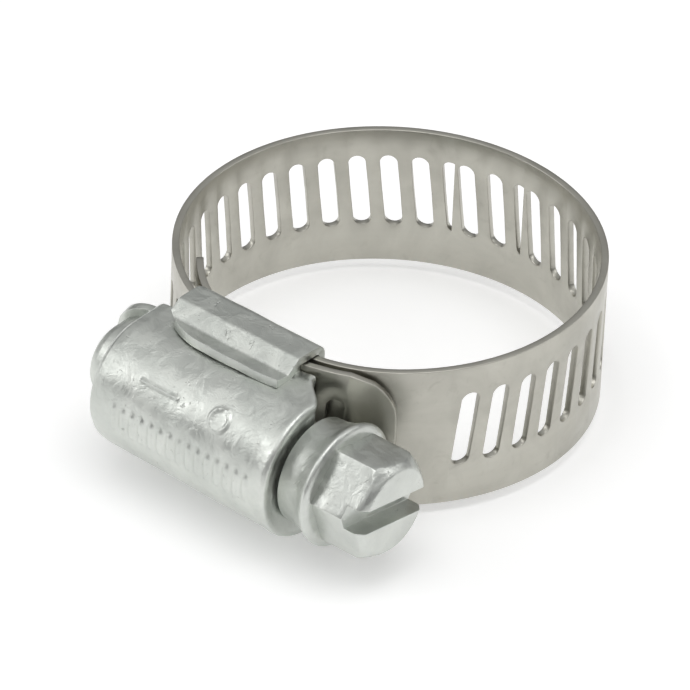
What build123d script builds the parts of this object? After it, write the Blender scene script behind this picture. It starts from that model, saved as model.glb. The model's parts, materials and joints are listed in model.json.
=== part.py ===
from build123d import *
import math
import os

# Worm-drive hose clamp. Millimetres. The origin is the centre of the loop at the band's mid-width,
# +Z runs along the hose, the housing lies towards -Y and the screw's head points towards +X.

# ---- band ----
band_width = 12.7
band_thickness = 0.6
loop_inner_radius = 16.75
band_play = 0.56             # room between the two layers of band inside the housing
side_play = 0.1              # between a band edge and a saddle wall
slot_length = 6.7
slot_width = 1.5
slot_height = 0.5            # slots sit a little above the band's middle
slot_pitch = 2.62            # one slot for each turn of the thread
slots_in_loop = 33           # whole steps from the first slot to the bend at the housing
slots_per_link = 4
links_fed = 2                # slots that the screw can draw in from the position shown
open_joint_slot = 17         # the loop's two chains of links meet after this slot
end_joint_gap = 0.3

# ---- band ends ----
tongue_bend = 20.0           # degrees, where the fixed end leaves the saddle
tongue_radius = 14.0
tongue_sweep = 31.0
mouth_bend = 12.0            # degrees, where both layers leave the saddle on the screw's side
tail_curl = 0.05             # the tail is bent this much tighter than the loop
tail_sweep = 26.0
tail_corner_radius = 4.0

# ---- saddle ----
sheet = 0.8
saddle_length = 9.5
saddle_right = 5.4
saddle_wall_left = -6.9
saddle_sink = 2.18           # the face that the hose touches, in from the loop's circle
wall_corner = (1.4, 1.8)     # cut off the walls' left corners, along X and Y
lip_lean = 11.0              # degrees from the wall
lip_length = 2.9
lip_end_cut = 0.9            # the lips are this much shorter at their ends

# ---- housing ----
barrel_radius = 5.6
barrel_front_radius = 6.0
barrel_left = -9.5
barrel_right = 9.1
cap_radius = 4.0
cap_length = 2.4
ear_left = -12.3
ear_half_width = 4.9
flange_play = 0.05

# ---- screw ----
screw_reach = 3.45           # from the loop's inner circle out to the screw's axis
screw_height = 0.0
thread_radius = 3.73
thread_root_radius = 3.0
thread_crest = 0.45
thread_base = 1.0
thread_left = -6.6
thread_right = 5.6
neck_radius = 3.1
bearing_play = 0.06
collar_back = 9.3
collar_back_radius = 4.45
collar_front = 12.4
collar_front_radius = 5.2
groove_radius = 4.2
groove_end = 13.2
hex_across_flats = 7.94
head_end = 17.5
head_chamfer = 0.7
driver_slot_width = 2.0
driver_slot_depth = 1.7
head_turn = -10.0            # degrees about the screw's axis
tip_radius = 1.9
tip_end = -11.2

# ---- worked out from the sizes above ----
mean_radius = loop_inner_radius + band_thickness / 2
tail_radius = mean_radius - tail_curl
saddle_depth = loop_inner_radius - saddle_sink
screw_depth = loop_inner_radius + screw_reach
base_y = -(saddle_depth + sheet + band_thickness / 2)
slotted_y = base_y - band_thickness - band_play
flange_in = slotted_y - band_thickness / 2 - flange_play
flange_out = flange_in - sheet
wall_in = band_width / 2 + side_play
wall_out = wall_in + sheet
saddle_left = saddle_right - saddle_length
slot_step = math.degrees(slot_pitch / mean_radius)
slot_lean = math.degrees(math.atan(slot_pitch / (2 * math.pi * thread_radius)))
entry_x = -math.sqrt(mean_radius ** 2 - slotted_y ** 2)
entry_angle = math.degrees(math.atan2(slotted_y, entry_x)) % 360
open_angle = entry_angle - open_joint_slot * slot_step
first_slot_angle = entry_angle - slots_in_loop * slot_step
mouth_cut = math.floor((saddle_right - entry_x) / slot_pitch)
tail_x = entry_x + mouth_cut * slot_pitch


def polar(radius, angle, centre=(0, 0)):
    a = math.radians(angle)
    return (centre[0] + radius * math.cos(a), centre[1] + radius * math.sin(a))


def ring_part(centre, radius, start, end):
    """A stretch of band bent to one mean radius, between two angles."""
    inner = radius - band_thickness / 2
    outer = radius + band_thickness / 2
    middle = (start + end) / 2
    with BuildSketch() as face:
        with BuildLine():
            a = ThreePointArc(polar(inner, start, centre), polar(inner, middle, centre),
                              polar(inner, end, centre))
            b = ThreePointArc(polar(outer, start, centre), polar(outer, middle, centre),
                              polar(outer, end, centre))
            Line(a @ 0, b @ 0)
            Line(a @ 1, b @ 1)
        make_face()
    return extrude(face.sketch, amount=band_width / 2, both=True)


def flat_part(left, right, y):
    """A straight stretch of band."""
    return Pos((left + right) / 2, y, 0) * Box(right - left, band_thickness, band_width)


def slot_tool(x, y, outward):
    """The cutter for one slot, through the band at a point, leaning with the thread."""
    out = math.radians(outward)
    lean = math.radians(slot_lean)
    along = (-math.sin(out) * math.sin(lean), math.cos(out) * math.sin(lean), math.cos(lean))
    plane = Plane(origin=(x, y, slot_height), x_dir=along,
                  z_dir=(math.cos(out), math.sin(out), 0))
    return extrude(plane * SlotOverall(slot_length, slot_width), amount=1.0, both=True)


def slotted_ring(start, end):
    """A link of the loop, with its slots and the half slots at its ends."""
    link = ring_part((0, 0), mean_radius, start, end)
    for n in range(slots_in_loop + 1):
        angle = first_slot_angle + n * slot_step
        if start - slot_step / 2 < angle < end + slot_step / 2:
            x, y = polar(mean_radius, angle)
            link -= slot_tool(x, y, angle)
    return link


def slotted_flat(left, right, left_lean=0.0, right_lean=0.0):
    """A straight stretch of slotted band, its end faces leaning to meet a bend's first face."""
    half = band_thickness / 2
    shift = [band_thickness * math.tan(math.radians(a)) for a in (left_lean, right_lean)]
    low, high = slotted_y - half, slotted_y + half
    side = Polyline((left, low), (right, low), (right - shift[1], high),
                    (left + shift[0], high), close=True)
    part = extrude(make_face(side.edges()), amount=band_width / 2, both=True)
    count = round((right - left) / slot_pitch)
    for n in range(count + 1):
        part -= slot_tool(left + n * slot_pitch, slotted_y, -90)
    return part


def make_fixed_end():
    """The plain end of the band: tongue, flat in the saddle, bend at the mouth, start of the loop."""
    flat = flat_part(saddle_left, saddle_right, base_y)
    bend = math.radians(tongue_bend)
    tongue_centre = (saddle_left + tongue_radius * math.sin(bend),
                     base_y + tongue_radius * math.cos(bend))
    tongue_end = 270 - tongue_bend
    tongue = ring_part(tongue_centre, tongue_radius, tongue_end - tongue_sweep, tongue_end)
    centre, radius = mouth_arc()
    join = math.degrees(math.atan2(centre[1], centre[0]))
    mouth = ring_part(centre, radius, mouth_bend - 90, join)
    start = ring_part((0, 0), mean_radius, join, fixed_end_angle())
    wedges = [fold_wedge(saddle_left, base_y, -tongue_bend),
              fold_wedge(saddle_right, base_y, mouth_bend)]
    x, y = polar(mean_radius, first_slot_angle)
    return flat + tongue + mouth + start + wedges - slot_tool(x, y, first_slot_angle)


def mouth_arc():
    """The arc that leaves the mouth at its bend and runs smoothly into the loop's circle."""
    bend = math.radians(mouth_bend)
    lean = saddle_right * math.sin(bend) - base_y * math.cos(bend)
    reach = mean_radius ** 2 - saddle_right ** 2 - base_y ** 2
    radius = reach / (2 * (mean_radius - lean))
    centre = (saddle_right - radius * math.sin(bend), base_y + radius * math.cos(bend))
    return centre, radius


def fold_wedge(x, y, bend):
    """The small sector of metal on the outside of a sharp bend."""
    half = band_thickness / 2
    turn = math.radians(bend)
    swung = (x + half * math.sin(turn), y - half * math.cos(turn))
    sector = Polyline((x, y), (x, y - half), swung, close=True)
    return extrude(make_face(sector.edges()), amount=band_width / 2, both=True)


def fixed_end_angle():
    return open_angle - link_count_right() * slots_per_link * slot_step


def link_count_right():
    """Whole links from the open joint back to the plain stretch of the loop."""
    room = open_angle - first_slot_angle
    return math.ceil(room / (slots_per_link * slot_step) - 1e-6)


def make_free_end():
    """The stretch of slotted band that the thread holds."""
    return slotted_flat(entry_x, tail_x - links_fed * slot_pitch, left_lean=270 - entry_angle)


def tail_link(n):
    left = tail_x - (links_fed - n) * slot_pitch
    last = n == links_fed - 1
    return slotted_flat(left, left + slot_pitch, right_lean=mouth_bend if last else 0)


def make_tail():
    """The loose end past the screw, curved, with a rounded tip."""
    bend = math.radians(mouth_bend)
    low = slotted_y - band_thickness / 2
    reach = tail_radius + band_thickness / 2
    centre = (tail_x - reach * math.sin(bend), low + reach * math.cos(bend))
    start = mouth_bend - 90
    tail = ring_part(centre, tail_radius, start, start + tail_sweep)
    tip = polar(tail_radius, start + tail_sweep, centre)
    for side in (1, -1):
        tail -= tip_corner(tip, start + tail_sweep, side)
    step = math.degrees(slot_pitch / tail_radius)
    for angle in (start, start + step):
        x, y = polar(tail_radius, angle, centre)
        tail -= slot_tool(x, y, angle)
    return tail


def tip_corner(tip, outward, side):
    """What is cut away to round one corner of the tail's tip."""
    out = math.radians(outward)
    plane = Plane(origin=(tip[0], tip[1], 0), x_dir=(-math.sin(out), math.cos(out), 0),
                  z_dir=(math.cos(out), math.sin(out), 0))
    edge = side * band_width / 2
    inset = edge - side * tail_corner_radius
    diagonal = tail_corner_radius * math.sqrt(0.5)
    with BuildSketch(plane) as corner:
        with BuildLine():
            ThreePointArc((-tail_corner_radius, edge),
                          (diagonal - tail_corner_radius, inset + side * diagonal), (0, inset))
            Polyline((0, inset), (1, inset), (1, edge + side), (-tail_corner_radius, edge + side),
                     (-tail_corner_radius, edge))
        make_face()
    return extrude(corner.sketch, amount=2.0, both=True)


def make_saddle():
    """A U of sheet under the band, its walls wrapping the edges and folded over the flanges."""
    length = saddle_right - saddle_wall_left
    middle = (saddle_right + saddle_wall_left) / 2
    floor = Pos((saddle_left + saddle_right) / 2, -(saddle_depth + sheet / 2), 0)
    saddle = floor * Box(saddle_length, sheet, 2 * wall_out)
    wall_top = -saddle_depth
    wall_low = flange_out
    outline = Polyline((saddle_wall_left + wall_corner[0], wall_top), (saddle_right, wall_top),
                       (saddle_right, wall_low), (saddle_wall_left, wall_low),
                       (saddle_wall_left, wall_top - wall_corner[1]), close=True)
    wall = extrude(make_face(outline.edges()), amount=sheet)
    lean = math.radians(lip_lean)
    for side in (1, -1):
        z = wall_in if side > 0 else -wall_out
        saddle += Pos(0, 0, z) * wall
        run = (-lip_length * math.cos(lean), -side * lip_length * math.sin(lean))
        thick = (-sheet * math.sin(lean), side * sheet * math.cos(lean))
        root = (wall_low, side * wall_in)
        with BuildSketch(Plane.YZ.offset(saddle_wall_left)) as section:
            with BuildLine():
                Polyline(root, (root[0] + run[0], root[1] + run[1]),
                         (root[0] + run[0] + thick[0], root[1] + run[1] + thick[1]),
                         (wall_low - sheet * math.tan(lean / 2), side * wall_out),
                         (wall_low, side * wall_out), close=True)
            make_face()
        lip = extrude(section.sketch, amount=length)
        saddle += lip
    tip = flange_out - lip_length * math.cos(lean)
    with BuildSketch() as beyond:
        with BuildLine():
            ThreePointArc((saddle_wall_left, tip + lip_end_cut), (middle, tip),
                          (saddle_right, tip + lip_end_cut))
            Polyline((saddle_right, tip + lip_end_cut), (saddle_right, tip - 2),
                     (saddle_wall_left, tip - 2), (saddle_wall_left, tip + lip_end_cut))
        make_face()
    return saddle - extrude(beyond.sketch, amount=2 * wall_out, both=True)


def make_housing():
    """The barrel over the screw, with flanges that the saddle's lips hold down."""
    axis_y = -screw_depth
    length = barrel_right - barrel_left
    mid_x = (barrel_left + barrel_right) / 2
    shell = barrel(barrel_left, barrel_right, barrel_radius, barrel_front_radius)
    bore = barrel(barrel_left, barrel_right - sheet, barrel_radius - sheet,
                  barrel_radius - sheet)
    cap = Pos(barrel_left, axis_y, screw_height) * Rot(0, -90, 0) * Cylinder(
        cap_radius, cap_length, align=(Align.CENTER, Align.CENTER, Align.MIN))
    round_edge = cap.edges().sort_by(Axis.X)[0]
    cap = fillet(round_edge, cap_radius / 3)
    flange_width = 2 * (wall_in - 0.05)
    plate = Pos(0, (flange_in + flange_out) / 2, 0)
    flange = plate * Pos((saddle_wall_left + saddle_right) / 2, 0, 0) * Box(
        saddle_right - saddle_wall_left, sheet, flange_width)
    ear = plate * Pos((ear_left + barrel_left + 2) / 2, 0, 0) * Box(
        barrel_left + 2 - ear_left, sheet, 2 * ear_half_width)
    ear = fillet([e for e in ear.edges().filter_by(Axis.Y) if e.center().X < barrel_left], 2.2)
    housing = shell + flange + ear - bore + cap
    below = Pos(0, flange_in + 10, 0) * Box(4 * length, 20, 4 * band_width)
    housing -= below
    neck_hole = Pos(barrel_right, axis_y, screw_height) * Rot(0, 90, 0) * Cylinder(
        neck_radius + bearing_play, 4 * sheet)
    tip_hole = Pos(mid_x, axis_y, screw_height) * Rot(0, -90, 0) * Cylinder(
        tip_radius + bearing_play, mid_x - tip_end + 0.3,
        align=(Align.CENTER, Align.CENTER, Align.MIN))
    return housing - neck_hole - tip_hole


def barrel(left, right, left_radius, right_radius):
    """A solid barrel, round on the outside and straight-sided down to the flanges."""
    faces = []
    for x, radius in ((left, left_radius), (right, right_radius)):
        with BuildSketch(Plane.YZ.offset(x)) as face:
            with BuildLine():
                low = flange_in
                top = (-screw_depth, screw_height + radius)
                foot = (-screw_depth, screw_height - radius)
                ThreePointArc(top, (-screw_depth - radius, screw_height), foot)
                Polyline(foot, (low, screw_height - radius), (low, screw_height + radius), top)
            make_face()
        faces.append(face.sketch)
    return loft(faces)


def make_screw():
    """Worm with a tip journal, neck, flared collar, groove and a slotted hexagon head."""
    profile = Polyline((tip_end, 0), (tip_end, tip_radius), (thread_left - 1.2, tip_radius),
                       (thread_left - 0.6, thread_root_radius),
                       (thread_right + 0.3, thread_root_radius), (thread_right + 0.4, neck_radius),
                       (collar_back, neck_radius), (collar_back, collar_back_radius),
                       (collar_front, collar_front_radius),
                       (collar_front + 0.35, collar_front_radius - 0.25),
                       (collar_front + 0.5, groove_radius), (groove_end, groove_radius),
                       (groove_end, 0), close=True)
    core = revolve(make_face(profile.edges()), axis=Axis.X)
    head_length = head_end - groove_end
    head = Pos(groove_end, 0, 0) * Rot(0, 90, 0) * extrude(
        RegularPolygon(hex_across_flats / 2, 6, major_radius=False, rotation=30),
        amount=head_length)
    corner_radius = hex_across_flats / math.sqrt(3)
    dome = Polyline((groove_end, 0), (groove_end, corner_radius + 0.1),
                    (head_end - head_chamfer, corner_radius + 0.1),
                    (head_end, corner_radius - head_chamfer * 1.4), (head_end, 0), close=True)
    head &= revolve(make_face(dome.edges()), axis=Axis.X)
    slot = Pos(head_end, 0, 0) * Box(2 * driver_slot_depth, 4 * corner_radius, driver_slot_width)
    screw = core + Rot(head_turn, 0, 0) * (head - slot) + make_thread()
    return Pos(0, -screw_depth, screw_height) * screw


def make_thread():
    """One right-hand worm thread of square-shouldered section, in mesh with the slots."""
    turns_length = thread_right - thread_left
    spine = Helix(pitch=slot_pitch, height=turns_length, radius=thread_root_radius)
    sunk = thread_root_radius - 0.3
    with BuildSketch(Plane.XZ) as section:
        with BuildLine():
            Polyline((sunk, -thread_base / 2 - 0.1), (thread_root_radius, -thread_base / 2),
                     (thread_radius, -thread_crest / 2), (thread_radius, thread_crest / 2),
                     (thread_root_radius, thread_base / 2), (sunk, thread_base / 2 + 0.1),
                     close=True)
        make_face()
    thread = sweep(section.sketch, path=spine, is_frenet=True)
    thread = Rot(0, 90, 0) * thread
    mesh_x = entry_x - slot_height * math.tan(math.radians(slot_lean))
    turn = 360 * (mesh_x - thread_left) / slot_pitch
    return Pos(thread_left, 0, 0) * Rot(90 - turn, 0, 0) * thread


def all_parts():
    parts = {"housing": make_housing(), "saddle": make_saddle(), "screw": make_screw(),
             "band_fixed_end": make_fixed_end(), "band_free_end": make_free_end(),
             "band_tail": make_tail()}
    for n in range(links_fed):
        parts[f"band_tail_link_{n + 1}"] = tail_link(n)
        end = entry_angle - n * slot_step
        parts[f"band_entry_link_{n + 1}"] = slotted_ring(end - slot_step, end)
    end = entry_angle - links_fed * slot_step
    n = 0
    while end > open_angle + 0.01:
        start = max(end - slots_per_link * slot_step, open_angle)
        gap = math.degrees(end_joint_gap / 2 / mean_radius) if start == open_angle else 0
        n += 1
        parts[f"band_left_link_{n}"] = slotted_ring(start + gap, end)
        end = start
    start = fixed_end_angle()
    for n in range(link_count_right()):
        end = start + slots_per_link * slot_step
        last = n == link_count_right() - 1
        gap = math.degrees(end_joint_gap / 2 / mean_radius) if last else 0
        parts[f"band_right_link_{n + 1}"] = slotted_ring(start, end - gap)
        start = end
    return parts


os.makedirs("parts", exist_ok=True)
for name, shape in all_parts().items():
    export_step(shape, f"parts/{name}.step")
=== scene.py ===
import bmesh
import bpy
import json
import math
from mathutils import Matrix, Vector, noise

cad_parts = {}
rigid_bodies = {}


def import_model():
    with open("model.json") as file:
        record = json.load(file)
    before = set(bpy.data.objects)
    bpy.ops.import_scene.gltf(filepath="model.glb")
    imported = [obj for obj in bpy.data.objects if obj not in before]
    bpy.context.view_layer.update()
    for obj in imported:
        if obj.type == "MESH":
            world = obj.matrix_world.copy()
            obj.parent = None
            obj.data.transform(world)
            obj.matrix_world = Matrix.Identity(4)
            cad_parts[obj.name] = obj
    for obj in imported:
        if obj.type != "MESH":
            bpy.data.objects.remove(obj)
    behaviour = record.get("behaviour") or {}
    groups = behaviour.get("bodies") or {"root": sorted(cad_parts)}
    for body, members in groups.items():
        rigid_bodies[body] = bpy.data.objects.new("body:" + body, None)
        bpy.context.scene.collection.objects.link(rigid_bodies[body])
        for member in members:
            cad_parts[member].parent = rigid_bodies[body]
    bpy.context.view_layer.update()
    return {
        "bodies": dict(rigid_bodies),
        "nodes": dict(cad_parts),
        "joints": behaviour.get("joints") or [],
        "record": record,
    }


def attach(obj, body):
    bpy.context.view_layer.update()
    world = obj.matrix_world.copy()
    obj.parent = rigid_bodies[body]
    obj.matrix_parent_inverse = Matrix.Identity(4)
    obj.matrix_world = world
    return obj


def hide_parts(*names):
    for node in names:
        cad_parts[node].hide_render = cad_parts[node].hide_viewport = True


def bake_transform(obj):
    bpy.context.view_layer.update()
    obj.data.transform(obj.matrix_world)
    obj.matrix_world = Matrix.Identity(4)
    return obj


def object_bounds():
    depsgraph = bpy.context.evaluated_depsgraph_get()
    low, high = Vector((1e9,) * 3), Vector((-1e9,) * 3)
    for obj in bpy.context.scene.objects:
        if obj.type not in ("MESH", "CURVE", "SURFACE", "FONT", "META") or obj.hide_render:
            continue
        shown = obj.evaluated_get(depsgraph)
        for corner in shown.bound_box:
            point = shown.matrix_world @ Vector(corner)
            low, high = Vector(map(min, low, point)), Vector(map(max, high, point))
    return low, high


# Worm-drive hose clamp. Lengths are in millimetres until a mesh is finished.
# The angles named here are in degrees, but SLOT_LEAN and HEAD_TURN are in radians.
MM = 0.001

# band
WIDTH = 12.7
GAUGE = 0.6
RADIUS = 17.05
PITCH = 2.62
SLOT = (6.7, 1.5)
SLOT_RISE = 0.5
THREAD_RADIUS = 3.73
SLOT_LEAN = math.atan(PITCH / (2 * math.pi * THREAD_RADIUS))
BAND_Y = -16.83
ENTRY_X = -math.sqrt(RADIUS ** 2 - BAND_Y ** 2)
ENTRY = math.degrees(math.atan2(BAND_Y, ENTRY_X)) % 360
STEP = math.degrees(PITCH / RADIUS)
SLOTS_OUTSIDE = 17           # from the open joint at the back to the housing
SLOTS_INSIDE = 3             # from there to where the tail bends away
OPEN_AT = ENTRY - SLOTS_OUTSIDE * STEP
SADDLE_LEFT = -4.1
SADDLE_RIGHT = 5.4
MOUTH_BEND = 12
MOUTH = Vector((SADDLE_RIGHT, -15.67))
MOUTH_WAY = Vector((math.sin(math.radians(MOUTH_BEND)), -math.cos(math.radians(MOUTH_BEND))))
MOUTH_RADIUS = (RADIUS ** 2 - MOUTH.length_squared) / (2 * (RADIUS - MOUTH.dot(MOUTH_WAY)))
JOIN = -math.degrees(math.atan2(*(MOUTH - MOUTH_WAY * MOUTH_RADIUS).yx))
TONGUE_BEND = 20
TONGUE_RADIUS = 14.0
TONGUE_SWEEP = 31
TAIL_RADIUS = 17.0
TAIL_LENGTH = 7.71
TAIL_PLAIN_FROM = 21.5       # counted in slots from the open joint, as are the strips' ends
FIXED_END_FROM = 16.5

# housing, saddle and screw
SHEET = 0.8
SADDLE_SHEET = 0.7
FLANK = 5.8
AXIS_Y = -20.2
FLANGE_Y = -17.98
SADDLE_Y = -14.57
WALL_Z = 7.12
HEAD_ROOT = 12.6
HEAD_TIP = 17.5
HEAD_ACROSS = 7.94
HEAD_TURN = math.radians(-10)
DRIVER_SLOT_WIDTH = 2.0
DRIVER_SLOT_DEPTH = 1.7


# ---------------------------------------------------------------- finishes

class Wire:
    """A shader value that Python's arithmetic works on."""

    def __init__(self, finish, socket):
        self.finish = finish
        self.socket = socket

    def maths(self, operation, *others):
        return self.finish.node("ShaderNodeMath", {"operation": operation}, (self, *others))

    def __add__(self, other):
        return self.maths("ADD", other)

    def __mul__(self, other):
        return self.maths("MULTIPLY", other)

    def __sub__(self, other):
        return self.maths("SUBTRACT", other)

    def __rsub__(self, other):
        return self.finish.node("ShaderNodeMath", {"operation": "SUBTRACT"}, (other, self))

    def __truediv__(self, other):
        return self.maths("DIVIDE", other)

    def __pow__(self, other):
        return self.maths("POWER", other)

    __radd__ = __add__
    __rmul__ = __mul__


class Finish:
    """A material built around one Principled shader."""

    def __init__(self, name, **constants):
        self.material = bpy.data.materials.new(name)
        self.material.use_nodes = True
        self.tree = self.material.node_tree
        self.shader = self.tree.nodes["Principled BSDF"]
        for socket, value in constants.items():
            self.shader.inputs[socket.replace("_", " ")].default_value = value

    def node(self, kind, settings=None, inputs=(), output=0):
        made = self.tree.nodes.new(kind)
        for name, value in (settings or {}).items():
            if name == "stops":
                self.set_stops(made.color_ramp, value)
            else:
                setattr(made, name, value)
        pairs = inputs.items() if isinstance(inputs, dict) else enumerate(inputs)
        for key, value in pairs:
            self.feed(made.inputs[key], value)
        return Wire(self, made.outputs[output])

    def feed(self, socket, value):
        if isinstance(value, Wire):
            self.tree.links.new(value.socket, socket)
        else:
            socket.default_value = value

    def set_stops(self, ramp, stops):
        while len(ramp.elements) < len(stops):
            ramp.elements.new(0.5)
        for element, (place, grey) in zip(ramp.elements, stops):
            element.position = place
            element.color = (grey, grey, grey, 1)

    def give(self, **inputs):
        for socket, value in inputs.items():
            self.feed(self.shader.inputs[socket.replace("_", " ")], value)

    def place(self):
        return self.node("ShaderNodeTexCoord", output="Object")

    def stretched(self, place, scale, turn=(0, 0, 0)):
        return self.node("ShaderNodeMapping", None,
                         {"Vector": place, "Scale": scale, "Rotation": turn})

    def cloud(self, place, scale, detail=3.0, rough=0.5, warp=0.0):
        return self.node("ShaderNodeTexNoise", None,
                         {"Vector": place, "Scale": scale, "Detail": detail,
                          "Roughness": rough, "Distortion": warp}, "Fac")

    def ramp(self, value, *stops):
        return self.node("ShaderNodeValToRGB", {"stops": stops}, {"Fac": value})

    def blend(self, share, first, second, mode="MIX"):
        return self.node("ShaderNodeMix", {"data_type": "RGBA", "blend_type": mode},
                         {0: share, 6: first, 7: second}, 2)

    def bump(self, height, strength, depth, under=None):
        inputs = {"Height": height, "Strength": strength, "Distance": depth}
        if under:
            inputs["Normal"] = under
        return self.node("ShaderNodeBump", None, inputs)


def zinc_plate(name, light, dark, grain=1.0, rough=0.38):
    """Bright zinc over pressed steel: cloudy greys, handling dings, a fine crystalline grain."""
    zinc = Finish(name, Metallic=1.0)
    place = zinc.place()
    broad = zinc.ramp(zinc.cloud(place, 210, 4, 0.6, 0.4), (0.34, 0.0), (0.66, 1.0))
    patches = zinc.ramp(zinc.cloud(place, 620, 5, 0.62, 0.8), (0.40, 0.0), (0.62, 1.0))
    fine = zinc.cloud(place, 5200, 3, 0.6)
    dings = zinc.ramp(zinc.cloud(place, 1500, 2, 0.5, 1.5), (0.69, 0.0), (0.76, 1.0))
    marks = zinc.node("ShaderNodeTexVoronoi", {"feature": "DISTANCE_TO_EDGE"},
                      {"Vector": zinc.stretched(place, (300, 900, 900)), "Scale": 1.0})
    scratch = zinc.ramp(marks, (0.0, 1.0), (0.025, 0.0)) * dings
    tone = zinc.blend(broad * 0.65 + patches * 0.35, dark, light)
    tone = zinc.blend(dings * 0.35, tone, (0.36, 0.37, 0.35, 1))
    zinc.give(Base_Color=tone,
              Roughness=rough + patches * 0.13 - broad * 0.07 + (fine - 0.5) * 0.16 + dings * 0.12)
    dents = zinc.bump(zinc.cloud(place, 420, 2, 0.5), 0.35 * grain, 0.00022)
    pores = zinc.bump(patches + dings * -1.6 + scratch * -1.0, 0.48 * grain, 0.00004, dents)
    zinc.give(Normal=zinc.bump(fine, 0.16 * grain, 0.00003, pores))
    return zinc.material


def rolled_stainless():
    """Bright stainless strip: fine rolling lines along its length, faint stains and rub marks."""
    steel = Finish("rolled_stainless", Metallic=1.0, Anisotropic=0.45)
    place = steel.place()
    x, y, z = (steel.node("ShaderNodeSeparateXYZ", None, {"Vector": place}, axis)
               for axis in "XYZ")
    along = steel.node("ShaderNodeMath", {"operation": "ARCTAN2"}, (y, x)) * (RADIUS * MM)
    rolled = steel.node("ShaderNodeCombineXYZ", None, (along * 90, z * 6500, 0.0))
    fine = steel.cloud(rolled, 1.0, 4, 0.65)
    wide = steel.node("ShaderNodeCombineXYZ", None, (along * 40, z * 900, 3.0))
    lines = steel.cloud(wide, 1.0, 4, 0.6)
    stains = steel.ramp(steel.cloud(place, 190, 4, 0.6, 0.6), (0.38, 0.0), (0.68, 1.0))
    rubs = steel.ramp(steel.cloud(place, 700, 4, 0.65, 1.2), (0.56, 0.0), (0.74, 1.0))
    tone = steel.blend(stains * 0.6 + lines * 0.4, (0.53, 0.52, 0.465, 1), (0.43, 0.42, 0.375, 1))
    tone = steel.blend(rubs * 0.22, tone, (0.34, 0.33, 0.29, 1))
    steel.give(Base_Color=tone,
               Roughness=0.27 + lines * 0.10 + stains * 0.06 + rubs * 0.08,
               Normal=steel.bump(fine + lines * 0.6 + rubs * 0.3, 0.22, 0.00003))
    return steel.material


def studio_floor():
    paint = Finish("pale_floor", Roughness=0.85, Base_Color=(0.93, 0.93, 0.93, 1))
    paint.give(Emission_Color=(1, 1, 1, 1), Emission_Strength=0.25)
    return paint.material


# ---------------------------------------------------------------- shaping

def piece(name, bm, material, body=None, edge=0.0, angle=35, thick=0.0):
    """Turns a mesh drawn in millimetres into a finished piece of the clamp."""
    bmesh.ops.scale(bm, vec=(MM, MM, MM), verts=bm.verts)
    mesh = bpy.data.meshes.new(name)
    bm.to_mesh(mesh)
    bm.free()
    made = bpy.data.objects.new(name, mesh)
    bpy.context.scene.collection.objects.link(made)
    made.data.materials.append(material)
    if thick:
        wall = made.modifiers.new("sheet", "SOLIDIFY")
        wall.thickness = thick * MM
        wall.offset = -1
    if edge:
        soft = made.modifiers.new("edges", "BEVEL")
        soft.width = edge * MM
        soft.segments = 3
        soft.limit_method = "ANGLE"
        soft.angle_limit = math.radians(angle)
        soft.harden_normals = False
    mesh.shade_smooth()
    mesh.set_sharp_from_angle(angle=math.radians(45))
    if body:
        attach(made, body)
    return made


def blank(columns, rows, rim=(0.0, 0.0)):
    """A flat sheet from -1 to 1 each way, ready for pressing, its outermost cells widened."""
    bm = bmesh.new()
    bmesh.ops.create_grid(bm, x_segments=columns, y_segments=rows, size=1.0)
    for v in bm.verts:
        for axis, count in ((0, columns), (1, rows)):
            if rim[axis] and abs(v.co[axis]) < 1 - 1 / count:
                v.co[axis] *= (1 - rim[axis]) / (1 - 2 / count)
    return bm


def rounded_path(corners, radii, step=0.06):
    """Points along a polyline whose corners are rounded, close together."""
    points = [Vector(corners[0])]
    for i in range(1, len(corners) - 1):
        here = Vector(corners[i])
        back = (Vector(corners[i - 1]) - here).normalized()
        on = (Vector(corners[i + 1]) - here).normalized()
        half = back.angle(on) / 2
        reach = radii[i - 1] / math.tan(half)
        start, end = here + back * reach, here + on * reach
        middle = here + (back + on).normalized() * (radii[i - 1] / math.sin(half))
        arc = [start - middle, end - middle]
        turn = arc[0].angle(arc[1])
        count = max(2, int(turn * radii[i - 1] / step))
        for k in range(count + 1):
            points.append(middle + arc[0].slerp(arc[1], k / count))
    points.append(Vector(corners[-1]))
    dense = [points[0]]
    for a, b in zip(points, points[1:]):
        count = max(1, int((b - a).length / step))
        dense += [a.lerp(b, (k + 1) / count) for k in range(count)]
    return dense


class Girth:
    """A section's outline, read by the distance along it."""

    def __init__(self, points):
        self.points = points
        self.marks = [0.0]
        for a, b in zip(points, points[1:]):
            self.marks.append(self.marks[-1] + (b - a).length)
        self.length = self.marks[-1]

    def at(self, distance):
        distance = min(max(distance, 0.0), self.length - 1e-6)
        low, high = 0, len(self.marks) - 1
        while high - low > 1:
            middle = (low + high) // 2
            if self.marks[middle] <= distance:
                low = middle
            else:
                high = middle
        share = (distance - self.marks[low]) / (self.marks[high] - self.marks[low])
        return self.points[low].lerp(self.points[high], share)


def smooth(low, high, value):
    t = min(max((value - low) / (high - low), 0.0), 1.0)
    return t * t * (3 - 2 * t)


# ---------------------------------------------------------------- housing

STATIONS = [(8.92, 3.3), (9.0, 4.2), (9.02, 4.9), (9.08, 5.2), (9.16, 5.5), (9.14, 5.78),
            (9.0, 5.93), (8.7, 5.95), (8.2, 5.88), (7.6, 5.84), (5.0, 5.8), (0.0, 5.7),
            (-5.0, 5.62), (-8.2, 5.55), (-8.9, 5.45), (-9.25, 5.2), (-9.45, 4.75), (-9.52, 4.2),
            (-9.56, 3.7), (-9.66, 3.38), (-9.95, 3.25), (-10.7, 3.18), (-11.2, 2.98),
            (-11.55, 2.55), (-11.78, 1.9), (-11.88, 1.1), (-11.9, 0.0001)]


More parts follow.
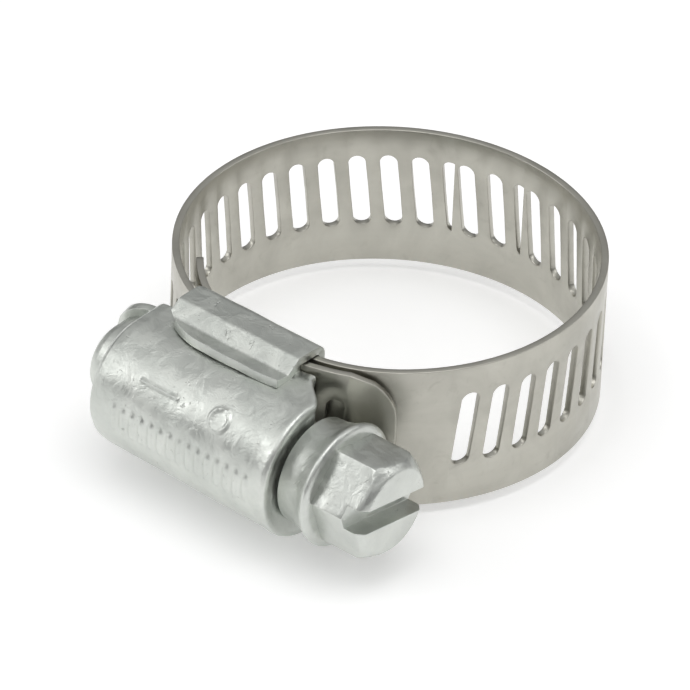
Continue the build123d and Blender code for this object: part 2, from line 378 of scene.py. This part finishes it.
def emboss(x, angle):
    """How far the barrel's wall stands out where it is marked, in millimetres."""
    ring = math.hypot(x - 3.15, math.radians(angle - 42.6) * 5.85)
    height = 0.12 * (1 - smooth(0.06, 0.22, abs(ring - 0.88)))
    dash = max(abs(x + 3.0) - 1.85, 0.0)
    height += 0.12 * (1 - smooth(0.05, 0.22, math.hypot(dash, math.radians(angle - 42.4) * 5.8)))
    for n in range(15):
        bar = math.hypot(x + 6.6 - n * 0.98,
                         max(abs(math.radians(angle - 1.0) * 5.7) - 0.95, 0.0))
        height += 0.12 * (1 - smooth(0.08, 0.34, bar))
    return height


def make_housing():
    """The pressed barrel: front wall, rolled lip, long round flanks, shoulder and closed end."""
    bm = blank(250, 130, (0.016, 0.018))
    whole = Girth([Vector(s) for s in STATIONS])
    leg = FLANGE_Y + SHEET - AXIS_Y
    for v in bm.verts:
        x, radius = whole.at((v.co.x + 1) / 2 * whole.length)
        side = 1 if v.co.y > 0 else -1
        along = abs(v.co.y) * (math.pi / 2 * FLANK + leg)
        angle = min(along / FLANK, math.pi / 2)
        down = max(along - math.pi / 2 * FLANK, 0.0)
        dent = noise.noise(Vector((x * 0.22, angle * 1.3 * side, 3.0))) * 0.06
        out = radius + dent * smooth(3.0, 5.0, radius)
        out += emboss(x, math.degrees(angle) * side) * smooth(4.9, 5.5, radius)
        lift = 0.8 * smooth(9.5, 9.8, -x)
        x -= 2.4 * smooth(0.0, leg, down) * smooth(5.0, 9.0, x)
        v.co = (x, AXIS_Y - out * math.cos(angle) + down, side * out * math.sin(angle) + lift)
    bmesh.ops.remove_doubles(bm, verts=bm.verts, dist=0.0005)
    bmesh.ops.recalc_face_normals(bm, faces=bm.faces)
    lowest = min(bm.faces, key=lambda f: f.calc_center_median().y)
    if lowest.normal.y > 0:
        bmesh.ops.reverse_faces(bm, faces=bm.faces)
    return bm


def facing_out(bm):
    """Turns a sheet's faces away from the band."""
    bmesh.ops.recalc_face_normals(bm, faces=bm.faces)
    for f in bm.faces:
        if f.normal.y > 0:
            f.normal_flip()
    return bm


def make_flange():
    """The two strips along the barrel's edges that the saddle's lips hold."""
    bm = bmesh.new()
    for side in (1, -1):
        corners = [(-6.7, 4.7), (5.2, 4.7), (5.2, 6.3), (-6.7, 6.3)]
        bm.faces.new([bm.verts.new((x, FLANGE_Y, side * z)) for x, z in corners])
    return facing_out(bm)


def make_ear():
    """The tongue of sheet that flares out under the closed end."""
    bm = blank(40, 40, (0.11, 0.06))
    for v in bm.verts:
        x = -7.6 - (v.co.x + 1) / 2 * 4.65
        beyond = max(-x - 9.95, 0.0)
        half = 2.55 + math.sqrt(max(2.3 ** 2 - beyond ** 2, 0.0))
        curl = 0.85 * smooth(9.3, 12.2, -x)
        v.co = (x, FLANGE_Y - curl, v.co.y * half)
    return facing_out(bm)


# ---------------------------------------------------------------- saddle

def make_saddle():
    """A U of sheet whose walls wrap the band and fold over the barrel's flanges."""
    half = [(SADDLE_Y, 0.0), (SADDLE_Y, WALL_Z), (-17.6, WALL_Z), (-19.1, 6.9), (-20.5, 6.6)]
    side = Girth(rounded_path([Vector(p) for p in half], [0.95, 0.9, 1.6]))
    fold = WALL_Z - 0.4
    bm = blank(110, 230, (0.036, 0.018))
    for v in bm.verts:
        w = abs(v.co.y)
        sign = 1 if v.co.y > 0 else -1
        wall = smooth(fold - 0.5, fold + 0.1, w * side.length)
        corner = min(max(w * side.length - fold, 0.0), 1.8) / 1.8
        left = SADDLE_LEFT + wall * -1.4 - 1.4 * math.sin(corner * math.pi / 2)
        x = left + (v.co.x + 1) / 2 * (SADDLE_RIGHT - left)
        rise = 2.0 * max(-(x + 1.5) / 5.4, 0.0) ** 2.2 + 0.25 * max((x - 1.5) / 3.9, 0.0) ** 2
        distance = w * (side.length - rise * smooth(0.2, 1.0, w))
        y, z = side.at(distance)
        wave = noise.noise(Vector((x * 0.35, y * 0.5, 7.0 * sign))) * 0.05 * wall
        press = 0.16 * smooth(-19.0, -21.0, y) * math.cos(x * 0.9) * 0.5
        v.co = (x, y, sign * (z + wave - abs(press)))
    bmesh.ops.recalc_face_normals(bm, faces=bm.faces)
    probe = max(bm.faces, key=lambda f: f.calc_center_median().y)
    if probe.normal.y < 0:
        bmesh.ops.reverse_faces(bm, faces=bm.faces)
    return bm


# ---------------------------------------------------------------- screw

BODY = [(-11.0, 0.0), (-11.0, 1.6), (-10.8, 1.85), (-7.6, 1.9), (-7.2, 2.7), (5.9, 2.7),
        (6.0, 2.75), (9.25, 2.75), (9.25, 4.25), (9.36, 4.4), (10.2, 4.45), (10.8, 4.56),
        (11.35, 4.72), (11.85, 4.95), (12.2, 5.14), (12.38, 5.2), (12.5, 5.17), (12.6, 5.08),
        (12.74, 4.75), (12.78, 4.5), (12.8, 3.6), (12.8, 0.0)]


def make_screw_body():
    """Tip journal, worm core, neck, flared collar and groove, turned about the axis."""
    bm = bmesh.new()
    line = rounded_path([Vector((x, r)) for x, r in BODY[:8]], [0.15, 0.1, 0.15, 0.2, 0.08, 0.05],
                        0.4)
    line += [Vector(p) for p in BODY[8:]]
    verts = [bm.verts.new((x, r, 0.0)) for x, r in line]
    edges = [bm.edges.new(pair) for pair in zip(verts, verts[1:])]
    bmesh.ops.spin(bm, geom=verts + edges, cent=(0, 0, 0), axis=(1, 0, 0), dvec=(0, 0, 0),
                   angle=2 * math.pi, steps=112, use_merge=True)
    bmesh.ops.remove_doubles(bm, verts=bm.verts, dist=0.001)
    bmesh.ops.recalc_face_normals(bm, faces=bm.faces)
    return bm


def make_worm():
    """One square-shouldered thread, in mesh with the slots."""
    bm = bmesh.new()
    crest = ENTRY_X - SLOT_RISE * math.tan(SLOT_LEAN)
    start = crest - math.floor((crest + 6.4) / PITCH) * PITCH
    turns = (5.4 - start) / PITCH
    steps = int(turns * 40)
    tooth = [(start - 0.5, 2.65), (start - 0.225, THREAD_RADIUS),
             (start + 0.225, THREAD_RADIUS), (start + 0.5, 2.65)]
    verts = [bm.verts.new((x, r, 0.0)) for x, r in tooth]
    edges = [bm.edges.new(pair) for pair in zip(verts, verts[1:])]
    bmesh.ops.spin(bm, geom=verts + edges, cent=(0, 0, 0), axis=(1, 0, 0),
                   dvec=(PITCH * turns / steps, 0, 0), angle=2 * math.pi * turns, steps=steps,
                   use_merge=False)
    bmesh.ops.holes_fill(bm, edges=bm.edges, sides=0)
    bmesh.ops.recalc_face_normals(bm, faces=bm.faces)
    return bm


def make_head():
    """The hexagon, its corners turned off at the end, before the driver slot is cut."""
    bm = bmesh.new()
    corner = HEAD_ACROSS / math.sqrt(3)
    bmesh.ops.create_circle(bm, cap_ends=True, cap_tris=False, segments=6, radius=corner,
                            matrix=Matrix.Rotation(math.pi / 2, 4, "Y"))
    bmesh.ops.rotate(bm, cent=(0, 0, 0), verts=bm.verts,
                     matrix=Matrix.Rotation(HEAD_TURN, 3, "X"))
    bmesh.ops.subdivide_edges(bm, edges=bm.edges, cuts=9)
    rim = [e for e in bm.edges if e.is_boundary]
    for x in (14.2, 15.4, 16.3, 16.6, 16.85, 17.05, 17.25, 17.42, HEAD_TIP):
        made = bmesh.ops.extrude_edge_only(bm, edges=rim)["geom"]
        rim = [e for e in made if isinstance(e, bmesh.types.BMEdge)]
        ring = {v for e in rim for v in e.verts}
        for v in ring:
            v.co.x = x - HEAD_ROOT
            limit = corner + 0.02 - max(x - 16.45, 0.0) * 1.05
            if x == HEAD_TIP:
                limit -= 0.1
            radius = math.hypot(v.co.y, v.co.z)
            if radius > limit:
                v.co.y *= limit / radius
                v.co.z *= limit / radius
    bmesh.ops.holes_fill(bm, edges=rim, sides=0)
    bmesh.ops.translate(bm, verts=bm.verts, vec=(HEAD_ROOT, 0, 0))
    bmesh.ops.recalc_face_normals(bm, faces=bm.faces)
    return bm


def make_slot_cutter():
    """What the driver slot takes out of the head."""
    bm = bmesh.new()
    bmesh.ops.create_cube(bm, size=1.0)
    bmesh.ops.scale(bm, vec=(2 * DRIVER_SLOT_DEPTH, 12.0, DRIVER_SLOT_WIDTH), verts=bm.verts)
    bmesh.ops.translate(bm, vec=(HEAD_TIP, 0, 0), verts=bm.verts)
    bmesh.ops.rotate(bm, cent=(0, 0, 0), verts=bm.verts,
                     matrix=Matrix.Rotation(HEAD_TURN, 3, "X"))
    return bm


def to_axis(bm):
    bmesh.ops.translate(bm, vec=(0, AXIS_Y, 0), verts=bm.verts)
    return bm


def cut_driver_slot(head, material):
    """Takes the driver slot out of the head and breaks its edges, in the mesh itself."""
    cutter = piece("slot_cutter", to_axis(make_slot_cutter()), material)
    cut = head.modifiers.new("driver_slot", "BOOLEAN")
    cut.operation = "DIFFERENCE"
    cut.object = cutter
    soft = head.modifiers.new("edges", "BEVEL")
    soft.width = 0.14 * MM
    soft.segments = 3
    soft.limit_method = "ANGLE"
    soft.angle_limit = math.radians(32)
    bpy.context.view_layer.update()
    graph = bpy.context.evaluated_depsgraph_get()
    carved = bpy.data.meshes.new_from_object(head.evaluated_get(graph))
    head.modifiers.clear()
    head.data = carved
    head.data.shade_smooth()
    head.data.set_sharp_from_angle(angle=math.radians(40))
    bpy.data.objects.remove(cutter)


# ---------------------------------------------------------------- band

def slotted_strip(first, last):
    """A flat strip of band between two places, counted in slots, with its leaning slots."""
    bm = bmesh.new()
    half = WIDTH / 2
    heights = {0: 0.0, 1: 2.6, 2: 4.3, 3: half}
    for n in range(math.floor(first + 0.5 + 1e-6), math.ceil(last - 0.5 - 1e-6) + 1):
        # the slot's rim has 24 points, and each is joined to one on the edge of the slot's cell
        hole = bmesh.ops.create_circle(bm, segments=24, radius=1.0)["verts"]
        around = {v: round(math.degrees(math.atan2(v.co.y, v.co.x)) / 15) % 24 for v in hole}
        edges = list({e for v in hole for e in v.link_edges})
        spread = bmesh.ops.extrude_edge_only(bm, edges=edges)["geom"]
        frame = [v for v in spread if isinstance(v, bmesh.types.BMVert)]
        for v in frame:
            k = round(math.degrees(math.atan2(v.co.y, v.co.x)) / 15) % 24
            k = k - 24 if k > 12 else k
            if abs(k) <= 3:
                v.co = (PITCH / 2, math.copysign(heights[abs(k)], k), 0)
            elif abs(k) >= 9:
                v.co = (-PITCH / 2, math.copysign(heights[12 - abs(k)], k) if abs(k) < 12 else 0,
                        0)
            else:
                v.co = (PITCH / 2 * (1 - (abs(k) - 3) / 3), math.copysign(half, k), 0)
        for v, k in around.items():
            angle = math.radians(15 * k)
            x, y = SLOT[1] / 2 * math.cos(angle), SLOT[1] / 2 * math.sin(angle)
            if k not in (0, 12):
                y += math.copysign((SLOT[0] - SLOT[1]) / 2, y)
            x += y * math.tan(SLOT_LEAN)
            v.co = (x, y + SLOT_RISE, 0)
        bmesh.ops.translate(bm, vec=(n * PITCH, 0, 0), verts=hole + frame)
    bmesh.ops.remove_doubles(bm, verts=bm.verts, dist=0.001)
    for place, outer in ((first, -1), (last, 1)):
        everything = bm.verts[:] + bm.edges[:] + bm.faces[:]
        bmesh.ops.bisect_plane(bm, geom=everything, plane_co=(place * PITCH, 0, 0),
                               plane_no=(outer, 0, 0), clear_outer=True, dist=0.0005)
    return bm


def plain_strip(course, first):
    """A flat strip of band without slots, from one distance to the end of its course."""
    marks = [first] + [p[0] for p in course.parts if p[0] > first] + [course.length]
    lines = [first]
    for a, b in zip(marks, marks[1:]):
        count = max(1, round((b - a) / 0.5))
        lines += [a + (b - a) * (k + 1) / count for k in range(count)]
    bm = bmesh.new()
    rows = [[bm.verts.new((x, y * WIDTH / 2, 0)) for y in (-1, 1)] for x in lines]
    for a, b in zip(rows, rows[1:]):
        bm.faces.new((a[0], b[0], b[1], a[1]))
    return bm


def thicken(bm, ends):
    """Gives a flat strip its gauge and breaks its edges, except at the ends that meet others."""
    bmesh.ops.recalc_face_normals(bm, faces=bm.faces)
    for f in bm.faces:
        if f.normal.z < 0:
            f.normal_flip()
    bmesh.ops.translate(bm, vec=(0, 0, GAUGE / 2), verts=bm.verts)
    bmesh.ops.solidify(bm, geom=bm.faces[:], thickness=GAUGE)
    bm.normal_update()

    def at_end(edge):
        return any(all(abs(v.co.x - e) < 0.02 for v in edge.verts) for e in ends)

    sharp = [e for e in bm.edges
             if len(e.link_faces) == 2 and e.calc_face_angle(0) > 0.9 and not at_end(e)]
    bmesh.ops.bevel(bm, geom=sharp, offset=0.06, affect="EDGES", segments=2, profile=0.5,
                    material=-1, offset_type="OFFSET")
    return bm


class Course:
    """The line that the middle of the band follows, as straights and arcs."""

    def __init__(self, start, heading, turn_sign):
        self.parts = []
        self.end = Vector(start)
        self.heading = heading
        self.sign = turn_sign
        self.length = 0.0

    def run(self, length, radius=None):
        self.parts.append((self.length, self.end.copy(), self.heading, radius))
        self.end, self.heading = self.along(length, self.end, self.heading, radius)
        self.length += length
        return self

    def along(self, length, start, heading, radius):
        forward = Vector((math.cos(heading), math.sin(heading)))
        if radius is None:
            return start + forward * length, heading
        side = Vector((-forward.y, forward.x)) * self.sign
        turn = self.sign * length / radius
        centre = start + side * radius
        spoke = start - centre
        spoke.rotate(Matrix.Rotation(turn, 2))
        return centre + spoke, heading + turn

    def at(self, distance):
        begun, start, heading, radius = [p for p in self.parts
                                         if p[0] <= distance + 1e-6 or p is self.parts[0]][-1]
        return self.along(distance - begun, start, heading, radius)


def lay(bm, course, outward):
    """Bends a flat strip along a course. Its +Z face ends up on the loop's outside."""
    for v in bm.verts:
        point, heading = course.at(v.co.x)
        normal = Vector((math.sin(heading), -math.cos(heading))) * outward
        place = point + normal * v.co.z
        v.co = (place.x, place.y, v.co.y)
    if outward < 0:
        bmesh.ops.reverse_faces(bm, faces=bm.faces)
    return bm


def loop_start(sign):
    angle = math.radians(OPEN_AT)
    point = (RADIUS * math.cos(angle), RADIUS * math.sin(angle))
    return Course(point, angle + sign * math.pi / 2, sign)


def band_piece(name, course, first, last, outward, material, bodies):
    """One stretch of band, riding on one body, or, when given two bodies, left fixed in place and
    attached to neither.
    """
    bm = slotted_strip(first, last)
    if outward < 0:
        bmesh.ops.scale(bm, vec=(-1, 1, 1), verts=bm.verts)
        bmesh.ops.translate(bm, vec=((first + last) * PITCH, 0, 0), verts=bm.verts)
    thicken(bm, [first * PITCH, last * PITCH])
    lay(bm, course, outward)
    made = piece(name, bm, material)
    made.data.set_sharp_from_angle(angle=math.radians(50))
    if len(bodies) == 1:
        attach(made, bodies[0])
    else:
        start, _ = course.at(first * PITCH)
        end, _ = course.at(last * PITCH)
        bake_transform(made)
    return made


def make_tail(course, material):
    """The loose end: plain and curved, with a rounded tip."""
    bm = bmesh.new()
    bmesh.ops.create_grid(bm, x_segments=24, y_segments=24, size=1.0)
    slotted = (TAIL_PLAIN_FROM - SLOTS_OUTSIDE - SLOTS_INSIDE) * PITCH
    length, corner = TAIL_LENGTH - slotted, 3.7
    for v in bm.verts:
        reach = (v.co.x + 1) / 2 * length
        w = v.co.y
        half = WIDTH / 2
        over = max(abs(w) * half - (half - corner), 0.0)
        cut = corner - math.sqrt(max(corner ** 2 - over ** 2, 0.0))
        v.co = (TAIL_PLAIN_FROM * PITCH + reach * (length - cut) / length, w * half, 0)
    thicken(bm, [TAIL_PLAIN_FROM * PITCH])
    lay(bm, course, 1)
    return piece("tail_tip", bm, material, "tail")


def make_fixed_end(course, material):
    """The plain end: into the mouth, flat in the saddle, and the tongue that slides on the loop."""
    first = FIXED_END_FROM * PITCH
    bm = thicken(plain_strip(course, first), [first])
    lay(bm, course, -1)
    made = piece("fixed_end_strip", bm, material, "clamp_base")
    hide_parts("band_fixed_end")
    return made


def make_band(material):
    """The whole loop: stretches that span from link to link, attached to neither, and rigid ones at
    ends or between.
    """
    left = loop_start(1).run(SLOTS_OUTSIDE * PITCH, RADIUS)
    left.heading = 0.0
    left.run(SLOTS_INSIDE * PITCH)
    left.heading = math.radians(MOUTH_BEND)
    left.run(TAIL_LENGTH, TAIL_RADIUS)
    right = loop_start(-1).run(math.radians(OPEN_AT + JOIN) * RADIUS, RADIUS)
    right.run(math.radians(90 - MOUTH_BEND - JOIN) * MOUTH_RADIUS, MOUTH_RADIUS)
    right.heading = math.radians(180)
    right.run(SADDLE_RIGHT - SADDLE_LEFT)
    right.heading = math.radians(180 - TONGUE_BEND)
    right.run(math.radians(TONGUE_SWEEP) * TONGUE_RADIUS, TONGUE_RADIUS)
    links = ["left_link_4", "left_link_3", "left_link_2", "left_link_1", "entry_link_2",
             "entry_link_1", "free_end", "tail_link_1", "tail_link_2", "tail"]
    begins = [1.5, 5.5, 9.5, 14.5, 15.5, 16.5, 17.5, 18.5, 19.5]
    ends = [5.5, 9.5, 13.5, 15.5, 16.5, 17.5, 18.5, 19.5, 20.5]
    first = band_piece("strip_left_start", left, 0.0, begins[0], 1, material, [links[0]])
    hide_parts("band_left_link_4")
    band_piece("strip_left_link_1", left, ends[2], begins[3], 1, material, ["left_link_1"])
    for a, b, start, end in zip(links, links[1:], begins, ends):
        made = band_piece(f"strip_{a}_{b}", left, start, end, 1, material, [a, b])
        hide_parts("band_" + b)
    band_piece("strip_tail", left, ends[-1], TAIL_PLAIN_FROM, 1, material, ["tail"])
    make_tail(left, material)
    links = ["right_link_4", "right_link_3", "right_link_2", "right_link_1"]
    middles = [2.5, 6.5, 10.5, 14.5]
    first = band_piece("strip_right_start", right, 0.0, middles[0], -1, material, [links[0]])
    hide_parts("band_right_link_4")
    for a, b, start, end in zip(links, links[1:], middles, middles[1:]):
        made = band_piece(f"strip_{a}_{b}", right, start, end, -1, material, [a, b])
        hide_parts("band_" + b)
    band_piece("strip_right_link_1_base", right, middles[-1], FIXED_END_FROM, -1, material,
               ["right_link_1", "clamp_base"])
    make_fixed_end(right, material)


# ---------------------------------------------------------------- studio

def soft_light(name, place, aim, size, power, colour=(1, 1, 1)):
    light = bpy.data.lights.new(name, "AREA")
    light.shape = "RECTANGLE"
    light.size, light.size_y = size
    light.energy = power
    light.color = colour
    lamp = bpy.data.objects.new(name, light)
    bpy.context.scene.collection.objects.link(lamp)
    lamp.location = place
    lamp.rotation_euler = (Vector(aim) - Vector(place)).to_track_quat("-Z", "Y").to_euler()


def studio_air():
    """Even grey at the horizon, brighter overhead."""
    world = bpy.data.worlds.new("studio")
    bpy.context.scene.world = world
    world.use_nodes = True
    nodes, links = world.node_tree.nodes, world.node_tree.links
    place = nodes.new("ShaderNodeTexCoord")
    split = nodes.new("ShaderNodeSeparateXYZ")
    ramp = nodes.new("ShaderNodeValToRGB")
    links.new(place.outputs["Generated"], split.inputs[0])
    links.new(split.outputs[2], ramp.inputs[0])
    links.new(ramp.outputs[0], nodes["Background"].inputs["Color"])
    stops = [(0.0, 0.16), (0.22, 0.24), (0.5, 0.62), (1.0, 0.85)]
    while len(ramp.color_ramp.elements) < len(stops):
        ramp.color_ramp.elements.new(0.5)
    for element, (at, grey) in zip(ramp.color_ramp.elements, stops):
        element.position = at
        element.color = (grey, grey, grey, 1)
    nodes["Background"].inputs["Strength"].default_value = 0.75


def make_studio(lowest):
    bm = blank(2, 2)
    bmesh.ops.scale(bm, vec=(4000, 4000, 1), verts=bm.verts)
    bmesh.ops.translate(bm, vec=(0, 0, lowest), verts=bm.verts)
    floor = piece("floor", bm, studio_floor())
    studio_air()
    soft_light("overhead", (0.1, -0.1, 0.7), (0, 0, 0), (0.7, 0.5), 1.9)
    soft_light("left_front", (-0.55, -0.45, 0.35), (0, -0.01, 0), (0.35, 0.5), 1.1)
    soft_light("right_back", (0.5, 0.45, 0.4), (0, 0, 0), (0.3, 0.4), 0.6)


def make_camera():
    lens = bpy.data.cameras.new("camera")
    lens.sensor_width = 36.0
    lens.lens = 413.76
    camera = bpy.data.objects.new("camera", lens)
    bpy.context.scene.collection.objects.link(camera)
    azimuth, elevation, roll = math.radians(38.5), math.radians(35.1), math.radians(2.484)
    aim = Vector((-3.444, -0.933, -4.339)) * MM
    distance = 0.63638           # in metres
    back = Vector((math.sin(azimuth) * math.cos(elevation),
                   -math.cos(azimuth) * math.cos(elevation), math.sin(elevation)))
    camera.location = aim + back * distance
    turn = (-back).to_track_quat("-Z", "Y").to_matrix() @ Matrix.Rotation(roll, 3, "Z")
    camera.rotation_euler = turn.to_euler()
    lens.clip_start, lens.clip_end = 0.05, 20.0
    bpy.context.scene.camera = camera


# ---------------------------------------------------------------- the clamp

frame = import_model()

housing_zinc = zinc_plate("zinc_housing", (0.70, 0.72, 0.68, 1), (0.56, 0.585, 0.55, 1))
saddle_zinc = zinc_plate("zinc_saddle", (0.67, 0.69, 0.65, 1), (0.55, 0.575, 0.54, 1), 1.2)
screw_zinc = zinc_plate("zinc_screw", (0.69, 0.71, 0.67, 1), (0.57, 0.59, 0.56, 1), 0.8, 0.35)
stainless = rolled_stainless()

barrel = piece("barrel", make_housing(), housing_zinc, "clamp_base",
               edge=0.12, angle=50, thick=SHEET)
piece("ear", make_ear(), housing_zinc, "clamp_base",
      edge=0.16, angle=50, thick=SHEET)
piece("flange", make_flange(), housing_zinc, "clamp_base",
      edge=0.12, angle=50, thick=SHEET)
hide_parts("housing")

saddle = piece("saddle_sheet", make_saddle(), saddle_zinc, "clamp_base",
               edge=0.14, angle=50, thick=SADDLE_SHEET)
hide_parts("saddle")

turned = piece("screw_body", to_axis(make_screw_body()), screw_zinc, "screw")
piece("worm", to_axis(make_worm()), screw_zinc, "screw")
head = piece("screw_head", to_axis(make_head()), screw_zinc, "screw")
cut_driver_slot(head, screw_zinc)
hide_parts("screw")

make_band(stainless)

low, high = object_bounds()
make_studio(low.z / MM - 0.02)
make_camera()
bpy.context.scene.view_settings.view_transform = "Standard"
